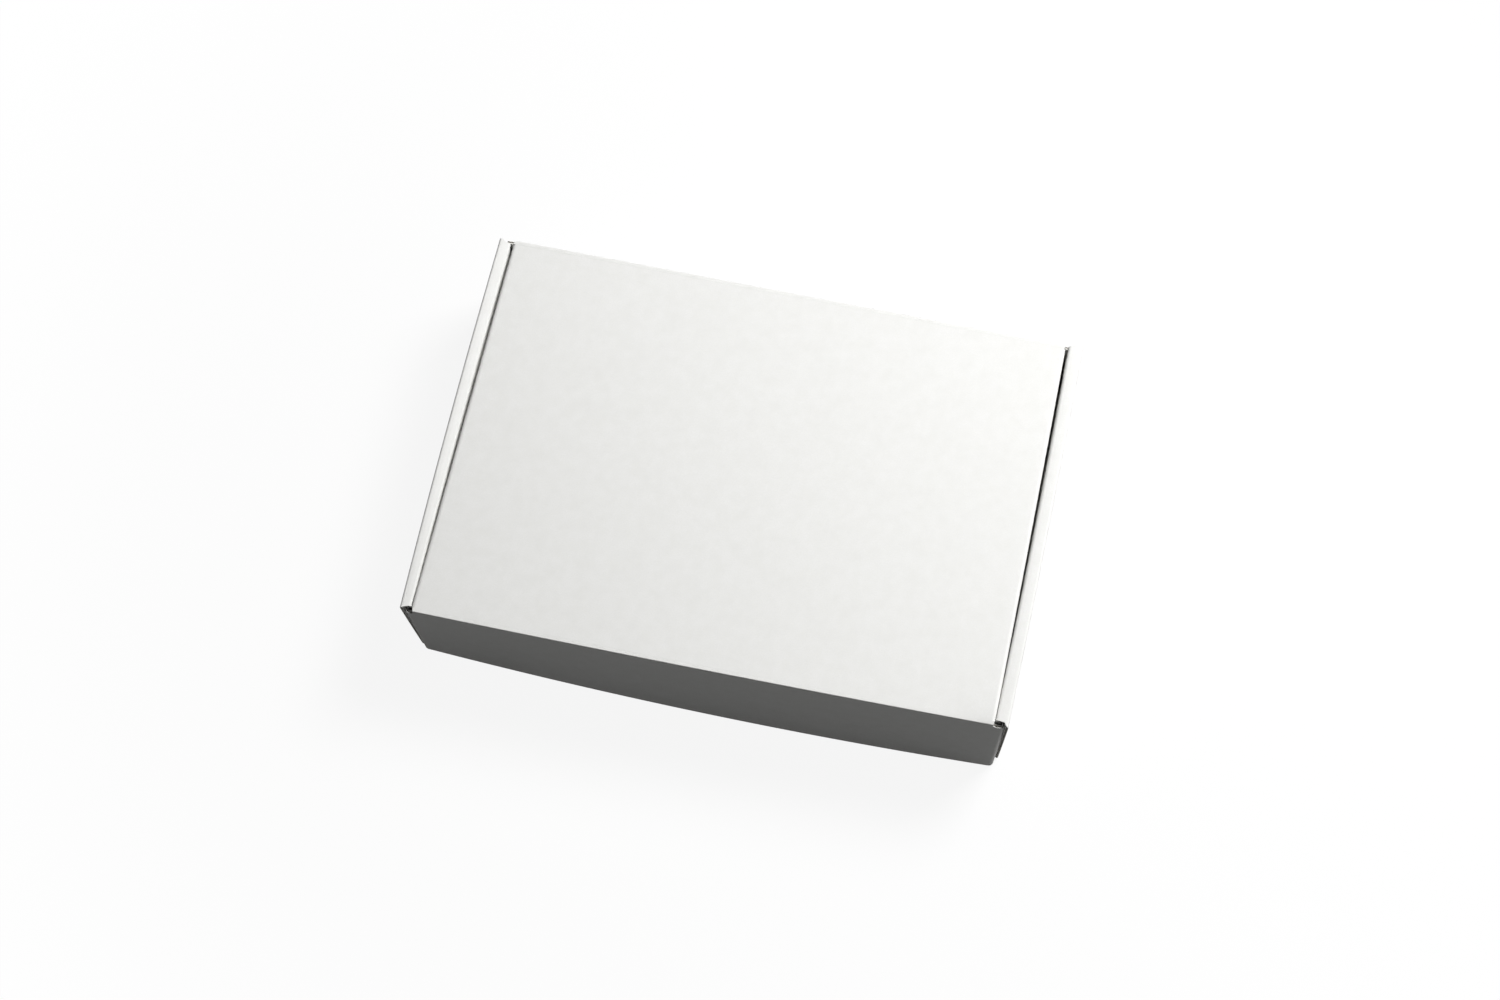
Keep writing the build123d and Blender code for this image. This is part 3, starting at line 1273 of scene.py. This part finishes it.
@dataclass
class FrontFlap:
    """Front flap with its round end bends and lock ears.

    Attributes:
        layout: Faces of the box.
        lean: How far the free edge leans out, at the left and the right end.
        bow: How far the free edge bows out between its ends.
        corner_round: Length of the free corners' rounding, from the ears on.
        ear_length: Longest reach of a lock ear behind the flap's face.
        ear_floor_gap: Gap that the ears keep over the floor as the flap swings.
        end_drop: How far the top edge drops beside the lid, at the left and right end.
        end_radii: Radius of the left and right end bend's middle line.
        flare: How far the free corners spread, left and right.
        end_draw: How far the lock ears' top draws in with the side walls, left and right.
        lean_power: Power of the share of the height by which it leans and bows.
        step: Longest mesh step across the flap.
        knot_digits: Digits that tell two mesh lines apart at its round corners.
        corner_lines: Mesh lines at each free corner.
        ear_lines: Mesh lines on each lock ear.
        rows: Mesh lines from the free edge to the top.
        spread: The box's ease.
    """

    layout: Layout
    lean: Pair = (1.05, 3.85)
    bow: float = 2.3
    corner_round: float = 3.2
    ear_length: float = 8.0
    ear_floor_gap: float = 0.5
    end_drop: Pair = (1.9, 1.2)
    end_radii: Pair = (1.8, 1.0)
    flare: Pair = (1.0, 0.0)
    end_draw: Pair = (0.42, 0.22)
    lean_power: float = 1.2
    step: float = 4.0
    knot_digits: int = 4
    corner_lines: int = 25
    ear_lines: int = 15
    rows: int = 17
    spread: Spread = Spread()

    @property
    def top(self) -> float:
        """Height where the crease strip takes over."""
        return self.layout.height - self.layout.board.thickness - self.layout.crease_slip

    @property
    def bend_depth(self) -> float:
        """How far behind the flap's face its end bends are done."""
        return max(self.end_radii) + self.layout.board.thickness / 2

    def place(self, line: FoldedLine) -> Surface:
        """Flap surface: straight at the crease, leaning and bowed towards the free edge.

        With x the share of the half width and d the share of the height down from the top, to
        the lean's power, the surface moves forward by (lean + bow x (1 - x^2)) x d, and its free
        corners spread by flare x x^4 x d.

        Args:
            line: The flap's middle line in (x, y), from one lock ear's tip to the other's.

        Returns:
            A surface of (length along the line, height).
        """
        lay = self.layout
        base = lifted(line, "xy")

        def surface(u: Array, v: Array) -> Array:
            """Points of the eased flap.

            Args:
                u: Lengths along the line.
                v: Heights.

            Returns:
                Points, with a last axis of three.
            """
            point = base(u, v)
            turned = smooth_step((point[..., 1] - lay.flap_face) / self.bend_depth)
            across = np.clip(point[..., 0] / lay.outer_wall_inside, -1, 1)
            down = np.clip((lay.height - v) / lay.height, 0, 1) ** self.lean_power
            lean = self.lean[0] + (self.lean[1] - self.lean[0]) * (across + 1) / 2
            point[..., 1] -= (lean + self.bow * (1 - across ** 2)) * down
            point[..., 1] -= through(self.spread.front, across / 2 + 0.5)
            flare = np.where(across < 0, *self.flare) * across ** 4 * down * (1 - turned)
            draw = np.where(across < 0, *self.end_draw) * (v / lay.height) ** 2 * turned
            point[..., 0] += np.sign(across) * (flare - draw)
            return self.spread.narrow(point, lay)

        return surface

    def build(self, materials: Materials) -> bpy.types.Object:
        """Builds the flap as one piece that rides on the front_flap body.

        Args:
            materials: One material for each paper.

        Returns:
            The linked piece.
        """
        lay, board = self.layout, self.layout.board
        half = board.thickness / 2
        ear, face, tip = lay.lock_ear_face + half, lay.flap_face + half, lay.flap_face + self.ear_length
        line = FoldedLine([(-ear, tip), (-ear, face), (ear, face), (ear, tip)], self.end_radii)
        arc_radius = lay.rear_pivot - lay.flap_face - self.bend_depth
        reach = lay.pivot_z - board.thickness - self.ear_floor_gap
        corner = self.corner_round * (1 - np.sin(np.linspace(0, np.pi / 2, self.corner_lines)))
        left_ear, right_ear = line.run_ends[0], line.run_starts[2]
        knots = np.concatenate([
            line.knots(0, line.length, self.step),
            left_ear + corner,
            right_ear - corner,
            np.linspace(0, left_ear, self.ear_lines),
            np.linspace(right_ear, line.length, self.ear_lines),
        ])
        knots = np.unique(np.round(knots, self.knot_digits))

        def behind(u: Array) -> Array:
            """Distance behind the flap's face."""
            return line.at(u)[..., 1] - lay.flap_face

        def upper(u: Array) -> Array:
            """Top edge: level, dropped beside the lid, and sloping back on the ears.

            With o the distance behind the bends, the ears' edge drops by
            sqrt(2 x arc radius x o), which is close to an arc about the rear fold.

            Args:
                u: Lengths along the line.

            Returns:
                The height where the board ends.
            """
            over = np.clip(behind(u) - self.bend_depth, 0, None)
            drop = np.sqrt(2 * arc_radius * over)
            across = line.at(u)[..., 0]
            beside = np.clip((np.abs(across) - lay.lid_half_front) / board.thickness, 0, 1)
            beside *= np.where(across < 0, *self.end_drop)
            return self.top - np.maximum(drop - (lay.pivot_z - self.top), beside)

        def lower(u: Array) -> Array:
            """Free edge: level, with round corners up to the ears' arc about the front fold.

            Args:
                u: Lengths along the line.

            Returns:
                The height where the board ends.
            """
            ear_low = lay.pivot_z - np.sqrt(reach ** 2 - np.clip(behind(u), 0, None) ** 2)
            inside = np.minimum(u - left_ear, right_ear - u)
            short = np.clip(1 - inside / self.corner_round, 0, 1)
            return lay.flap_low + (ear_low - lay.flap_low) * (1 - np.sqrt(1 - short ** 2))

        stock = MeshStock()
        Panel(self.place(line), knots, lower, upper, even_shares(self.rows),
              u_folds=line.folds(), capped=(0, -1)).add(stock, board)
        piece = stock.build("flap_board", materials)
        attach(piece, "front_flap")
        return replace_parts(piece, "front_flap")


@dataclass
class Crease:
    """A fold between two panels: a strip of board with a rounded section.

    Attributes:
        layout: Faces of the box.
        name: The piece's name.
        bodies: The body at the wall or flap end, and the lid's. Not used.
        front: Whether it is the front crease.
        reaches: How far the crease reaches to the left and to the right.
        end_cut: How far both ends are cut back at the outer face.
        outer_radius: Radius of the outer face.
        inner_radius: Radius of the inner face.
        arc_steps: Mesh points on each quarter round.
        lines: Mesh lines along the crease.
        spread: The box's ease.
    """

    layout: Layout
    name: str
    bodies: tuple[str, str]
    front: bool
    reaches: Pair
    end_cut: float
    outer_radius: float = 0.3
    inner_radius: float = 0.3
    arc_steps: int = 10
    lines: int = 81
    spread: Spread = Spread()

    @property
    def inward(self) -> int:
        """Direction in Y from the outer face into the box."""
        return 1 if self.front else -1

    @property
    def face(self) -> float:
        """Outer face of the wall or flap at the crease."""
        return self.layout.flap_face if self.front else self.layout.rear_face

    @property
    def reach(self) -> float:
        """How far the strip reaches from the outer corner along both panels."""
        return self.layout.board.thickness + self.layout.crease_slip

    def section(self) -> Array:
        """Closed section of an outer and an inner quarter round with square ends.

        Returns:
            Points in (y, z), without doubles.
        """
        thick, reach = self.layout.board.thickness, self.reach
        angle = np.linspace(0, np.pi / 2, self.arc_steps)
        outer = self.outer_radius * np.stack([1 - np.cos(angle), np.sin(angle) - 1], -1)
        turn = np.array([thick + self.inner_radius, -thick - self.inner_radius])
        inner = turn + self.inner_radius * np.stack([-np.sin(angle), np.cos(angle)], -1)
        ring = np.concatenate([
            [[0, -reach]], outer, [[reach, 0]],
            [[reach, -thick]], inner, [[thick, -reach]],
        ])
        apart = np.any(np.abs(np.diff(ring, axis=0)) > SAME_POINT, axis=1)
        ring = ring[np.concatenate([[True], apart])]
        return np.stack([self.face + self.inward * ring[:, 0], self.layout.height + ring[:, 1]], -1)

    def build(self, materials: Materials) -> bpy.types.Object:
        """Builds the strip in its resting shape.

        Args:
            materials: One material for each paper.

        Returns:
            The linked piece.
        """
        lay, reach = self.layout, self.reach
        ring = self.section()
        count = len(ring)
        x = np.linspace(-self.reaches[0], self.reaches[1], self.lines)
        points = np.concatenate([
            np.repeat(x, count)[:, None], np.tile(ring, (self.lines, 1))], axis=1)
        inset = np.tile(np.abs(ring[:, 0] - self.face) / reach, self.lines)
        points[:, 0] *= 1 - self.end_cut * (1 - inset) / max(self.reaches)
        points = self.spread.lift_corner(points, lay, lay.height - reach, lay.height)
        points = self.spread.lengthen(points, lay) * MM
        index = np.arange(self.lines * count).reshape(self.lines, count)
        after = np.roll(index, -1, axis=1)
        quads = np.stack([index[:-1], index[1:], after[1:], after[:-1]], -1).reshape(-1, 4)
        ends = np.stack([index[0], index[-1, ::-1]])
        if not self.front:
            quads, ends = quads[:, ::-1], ends[:, ::-1]
        mesh = bpy.data.meshes.new(self.name)
        mesh.from_pydata(points.tolist(), [], quads.tolist() + ends.tolist())
        mesh.update()
        layer = mesh.uv_layers.new(name="flat")
        vertices = np.empty(len(mesh.loops), np.int32)
        mesh.loops.foreach_get("vertex_index", vertices)
        layer.data.foreach_set("uv", points[vertices][:, :2].astype(np.float32).ravel())
        piece = link_mesh(mesh, [materials[Paper.LINER.value]])
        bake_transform(piece)
        return piece


def linear(colour: str) -> tuple[float, float, float, float]:
    """Turns an sRGB hex colour to linear light.

    Args:
        colour: Six hex digits after a hash.

    Returns:
        Linear red, green, blue and an alpha of one.
    """
    levels = [int(colour[i:i + 2], 16) / 255 for i in (1, 3, 5)]
    return (*(c / 12.92 if c <= 0.04045 else ((c + 0.055) / 1.055) ** 2.4 for c in levels), 1.0)


def empty_tree(owner: bpy.types.Material | bpy.types.World) -> bpy.types.NodeTree:
    """Turns on a material's or a world's nodes and clears them.

    Args:
        owner: The material or world.

    Returns:
        Its empty node tree.
    """
    owner.use_nodes = True
    owner.node_tree.nodes.clear()
    return owner.node_tree


def add_node(
    tree: bpy.types.NodeTree,
    kind: str,
    links: Optional[dict[int | str, object]] = None,
    **settings: object,
) -> bpy.types.Node:
    """Adds a shader node.

    Args:
        tree: The material's node tree.
        kind: Blender's name for the node type.
        links: Input name or index to either an output socket or a plain value.
        settings: Properties of the node.

    Returns:
        The new node.
    """
    node = tree.nodes.new(kind)
    for name, value in settings.items():
        setattr(node, name, value)
    for name, value in (links or {}).items():
        if isinstance(value, bpy.types.NodeSocket):
            tree.links.new(value, node.inputs[name])
        else:
            node.inputs[name].default_value = value
    return node


def background_rays(tree: bpy.types.NodeTree) -> bpy.types.Node:
    """Tells which rays see the plain white background: camera, glossy and transmission.

    Args:
        tree: The floor's or the world's nodes.

    Returns:
        A node that gives 1 for those rays and 0 for all others.
    """
    path = add_node(tree, "ShaderNodeLightPath").outputs
    mirrored = add_node(tree, "ShaderNodeMath", {
        0: path["Is Glossy Ray"], 1: path["Is Transmission Ray"]}, operation="MAXIMUM")
    return add_node(tree, "ShaderNodeMath", {
        0: path["Is Camera Ray"], 1: mirrored.outputs[0]}, operation="MAXIMUM")


@dataclass(frozen=True)
class PaperFinish:
    """Uncoated bleached kraft paper, as a liner or a fluted sheet.

    Wood fibres felted on a wire give a matte white with a faint cloud of thick and thin
    spots and a very fine tooth, and the flutes underneath show as a slight washboard.

    Attributes:
        name: Material name.
        pale: Colour of the thick spots.
        deep: Colour of the thin spots.
        cloud_mm: Size of the clouds.
        fibre_mm: Size of the fibre tooth, drawn coarser than real fibres so that it shows.
        washboard_mm: Height of the washboard, or nothing.
        pitch_mm: Flute spacing.
        roughness: Surface roughness of dry paper.
        ior: Refractive index of its fibres.
        tooth_mm: Height of the fibre tooth.
        cloud_noise: Detail and roughness of the clouds' noise.
        fibre_noise: Detail and roughness of the fibres' noise.
        shown: Range of the two noises' product that goes from deep to pale.
    """

    name: str
    pale: str
    deep: str
    cloud_mm: float = 5.0
    fibre_mm: float = 0.5
    washboard_mm: float = 0.0
    pitch_mm: float = Board.pitch
    roughness: float = 0.78
    ior: float = 1.45
    tooth_mm: float = 0.012
    cloud_noise: Pair = (5.0, 0.62)
    fibre_noise: Pair = (3.0, 0.55)
    shown: Pair = (0.1, 0.4)

    def make(self) -> bpy.types.Material:
        """Builds the node material.

        Returns:
            The material.
        """
        material = bpy.data.materials.new(self.name)
        tree = empty_tree(material)
        place = add_node(tree, "ShaderNodeTexCoord")
        cloud, fibre = (
            add_node(tree, "ShaderNodeTexNoise", {
                "Vector": place.outputs["Object"], "Scale": 1 / (size * MM),
                "Detail": detail, "Roughness": rough})
            for size, (detail, rough) in (
                (self.cloud_mm, self.cloud_noise), (self.fibre_mm, self.fibre_noise))
        )
        both = add_node(tree, "ShaderNodeMath", {
            0: cloud.outputs["Fac"], 1: fibre.outputs["Fac"]}, operation="MULTIPLY")
        ramp = add_node(tree, "ShaderNodeMapRange", {
            "Value": both.outputs[0], "From Min": self.shown[0], "From Max": self.shown[1]})
        colour = add_node(tree, "ShaderNodeMix", {
            MIX_FACTOR: ramp.outputs[0], MIX_FIRST: linear(self.deep), MIX_SECOND: linear(self.pale),
        }, data_type="RGBA")
        height = add_node(tree, "ShaderNodeMath", {
            0: fibre.outputs["Fac"], 1: self.tooth_mm * MM}, operation="MULTIPLY")
        if self.washboard_mm:
            height = self.add_washboard(tree, place, height)
        bump = add_node(tree, "ShaderNodeBump", {
            "Height": height.outputs[0], "Strength": 1.0, "Distance": 1.0})
        shader = add_node(tree, "ShaderNodeBsdfPrincipled", {
            "Base Color": colour.outputs[MIX_RESULT], "Roughness": self.roughness, "IOR": self.ior,
            "Normal": bump.outputs[0]})
        add_node(tree, "ShaderNodeOutputMaterial", {"Surface": shader.outputs[0]})
        return material

    def add_washboard(
        self, tree: bpy.types.NodeTree, place: bpy.types.Node, height: bpy.types.Node
    ) -> bpy.types.Node:
        """Adds the flutes' faint ridges: height plus a sine along the map's first axis.

        Args:
            tree: The material's node tree.
            place: The texture coordinates.
            height: The height so far.

        Returns:
            The node of the new height.
        """
        split = add_node(tree, "ShaderNodeSeparateXYZ", {"Vector": place.outputs["UV"]})
        phase = add_node(tree, "ShaderNodeMath", {
            0: split.outputs["X"], 1: 2 * math.pi / (self.pitch_mm * MM)}, operation="MULTIPLY")
        ridge = add_node(tree, "ShaderNodeMath", {0: phase.outputs[0]}, operation="SINE")
        return add_node(tree, "ShaderNodeMath", {
            0: ridge.outputs[0], 1: self.washboard_mm * MM / 2, 2: height.outputs[0],
        }, operation="MULTIPLY_ADD")


LINER_FINISH = PaperFinish("bleached_liner", "#F3F3F1", "#EDEDEA", washboard_mm=0.004)
MEDIUM_FINISH = PaperFinish("fluted_medium", "#E4E1DA", "#D8D4CB", fibre_mm=0.4)


@dataclass(frozen=True)
class Softbox:
    """A square soft lamp that faces the box.

    Attributes:
        name: The lamp's name.
        place: Its place in metres.
        side: Its side in metres.
        power: Its power in watts.
    """

    name: str
    place: Triple
    side: float
    power: float

    def build(self) -> None:
        """Adds the lamp, turned to the origin and out of the camera's sight."""
        lamp = bpy.data.lights.new(self.name, "AREA")
        lamp.shape = "SQUARE"
        lamp.size = self.side
        lamp.energy = self.power
        light = bpy.data.objects.new(self.name, lamp)
        light.location = self.place
        light.visible_camera = False
        light.rotation_euler = Vector(self.place).to_track_quat("Z", "Y").to_euler()
        bpy.context.scene.collection.objects.link(light)


@dataclass(frozen=True)
class Studio:
    """Floor, lights and camera.

    Attributes:
        floor_side: Side of the square floor, in metres.
        floor_shadow: Share of the floor's look that takes light and shadow, next to the box.
        shadow_near: Distance from the box's middle up to which that share is whole, in metres.
        shadow_far: Distance where it is down to nothing and the floor is plain white.
        floor_bounce: How much light the floor gives back to the box.
        softboxes: The large lamp behind and to the right, and a weak low one at the right.
        ambient: Light from all round.
        lens_px: Focal length in the photograph's pixels.
        axis_px: Place in the picture that the lens's axis meets.
        azimuth: Camera's turn round the box, in degrees.
        elevation: Camera's angle above the horizon.
        roll: Camera's roll.
        distance: Distance to the aim, in metres.
        aim: Point on the lens's axis, in metres.
        sensor_mm: Width of the sensor.
        clip_start: Nearest distance that the camera sees, in metres.
    """

    floor_side: float = 6.0
    floor_shadow: float = 0.1
    shadow_near: float = 0.16
    shadow_far: float = 0.42
    floor_bounce: str = "#686868"
    softboxes: tuple[Softbox, ...] = (
        Softbox("key_softbox", (0.53, 0.62, 1.01), 0.50, 18.4),
        Softbox("side_fill", (1.3, 0.1, 0.25), 0.6, 2.1),
    )
    ambient: float = 0.08
    lens_px: float = 2702.7
    axis_px: Pair = (850.0, 500.0)
    azimuth: float = 15.033
    elevation: float = 71.561
    roll: float = -3.389
    distance: float = 1.0541
    aim: Triple = (0.04217, -0.00126, 0.0534)
    sensor_mm: float = 36.0
    clip_start: float = 0.01

    def floor(self) -> None:
        """Adds the pale floor: white to the camera, with the box's shadow kept on it."""
        half = self.floor_side / 2
        mesh = bpy.data.meshes.new("floor")
        corners = [(-half, -half, 0), (half, -half, 0), (half, half, 0), (-half, half, 0)]
        mesh.from_pydata(corners, [], [(0, 1, 2, 3)])
        floor = bpy.data.objects.new("floor", mesh)
        bpy.context.scene.collection.objects.link(floor)
        material = bpy.data.materials.new("pale_floor")
        tree = empty_tree(material)
        shaded = add_node(tree, "ShaderNodeBsdfDiffuse", {"Color": WHITE})
        white = add_node(tree, "ShaderNodeEmission", {"Color": WHITE, "Strength": 1.0})
        place = add_node(tree, "ShaderNodeTexCoord")
        away = add_node(tree, "ShaderNodeVectorMath", {0: place.outputs["Object"]}, operation="LENGTH")
        share = add_node(tree, "ShaderNodeMapRange", {
            "Value": away.outputs["Value"], "From Min": self.shadow_near, "From Max": self.shadow_far,
            "To Min": self.floor_shadow, "To Max": 0.0,
        }, interpolation_type="SMOOTHSTEP")
        seen = add_node(tree, "ShaderNodeMixShader", {
            0: share.outputs[0], 1: white.outputs[0], 2: shaded.outputs[0]})
        bounce = add_node(tree, "ShaderNodeBsdfDiffuse", {"Color": linear(self.floor_bounce)})
        rays = background_rays(tree)
        mixed = add_node(tree, "ShaderNodeMixShader", {
            0: rays.outputs[0], 1: bounce.outputs[0], 2: seen.outputs[0]})
        add_node(tree, "ShaderNodeOutputMaterial", {"Surface": mixed.outputs[0]})
        mesh.materials.append(material)

    def lights(self) -> None:
        """Adds the soft lamps and the even light from all round."""
        for softbox in self.softboxes:
            softbox.build()
        world = bpy.data.worlds.new("studio")
        tree = empty_tree(world)
        rays = background_rays(tree)
        around = add_node(tree, "ShaderNodeBackground", {"Color": WHITE, "Strength": self.ambient})
        white = add_node(tree, "ShaderNodeBackground", {"Color": WHITE, "Strength": 1.0})
        mixed = add_node(tree, "ShaderNodeMixShader", {
            0: rays.outputs[0], 1: around.outputs[0], 2: white.outputs[0]})
        add_node(tree, "ShaderNodeOutputWorld", {"Surface": mixed.outputs[0]})
        bpy.context.scene.world = world

    def camera(self) -> None:
        """Adds the camera at the photograph's viewing angle."""
        turn, rise = math.radians(self.azimuth), math.radians(self.elevation)
        level = math.cos(rise)
        back = Vector((math.sin(turn) * level, -math.cos(turn) * level, math.sin(rise)))
        data = bpy.data.cameras.new("camera")
        data.sensor_width = self.sensor_mm
        data.lens = self.lens_px / PHOTO_WIDTH * self.sensor_mm
        data.shift_x = (PHOTO_WIDTH / 2 - self.axis_px[0]) / PHOTO_WIDTH
        data.shift_y = (self.axis_px[1] - PHOTO_HEIGHT / 2) / PHOTO_WIDTH
        data.clip_start = self.clip_start
        camera = bpy.data.objects.new("camera", data)
        camera.location = Vector(self.aim) + back * self.distance
        camera.rotation_mode = "QUATERNION"
        camera.rotation_quaternion = (-back).to_track_quat("-Z", "Y") @ Quaternion(
            (0, 0, 1), math.radians(self.roll))
        bpy.context.scene.collection.objects.link(camera)
        bpy.context.scene.camera = camera
        bpy.context.scene.view_settings.view_transform = "Standard"


def main() -> None:
    """Builds the box around the CAD frame, then the studio."""
    logging.basicConfig(level=logging.INFO, format="%(name)s: %(message)s")
    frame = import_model()
    layout = Layout.from_frame(frame["record"])
    papers = [LINER_FINISH.make(), MEDIUM_FINISH.make()]
    lid = Lid(layout)
    front_crease = Crease(layout, "front_crease", ("front_flap", "lid"), front=True,
                          reaches=lid.crease_reaches(True), end_cut=0.2)
    rear_crease = Crease(layout, "rear_crease", ("tray", "lid"), front=False,
                         reaches=lid.crease_reaches(False), end_cut=1.1)
    for assembly in (Tray(layout), lid, FrontFlap(layout), front_crease, rear_crease):
        piece = assembly.build(papers)
        log.info("%s: %d faces", piece.name, len(piece.data.polygons))
    studio = Studio()
    studio.floor()
    studio.lights()
    studio.camera()


if __name__ == "__main__":
    main()
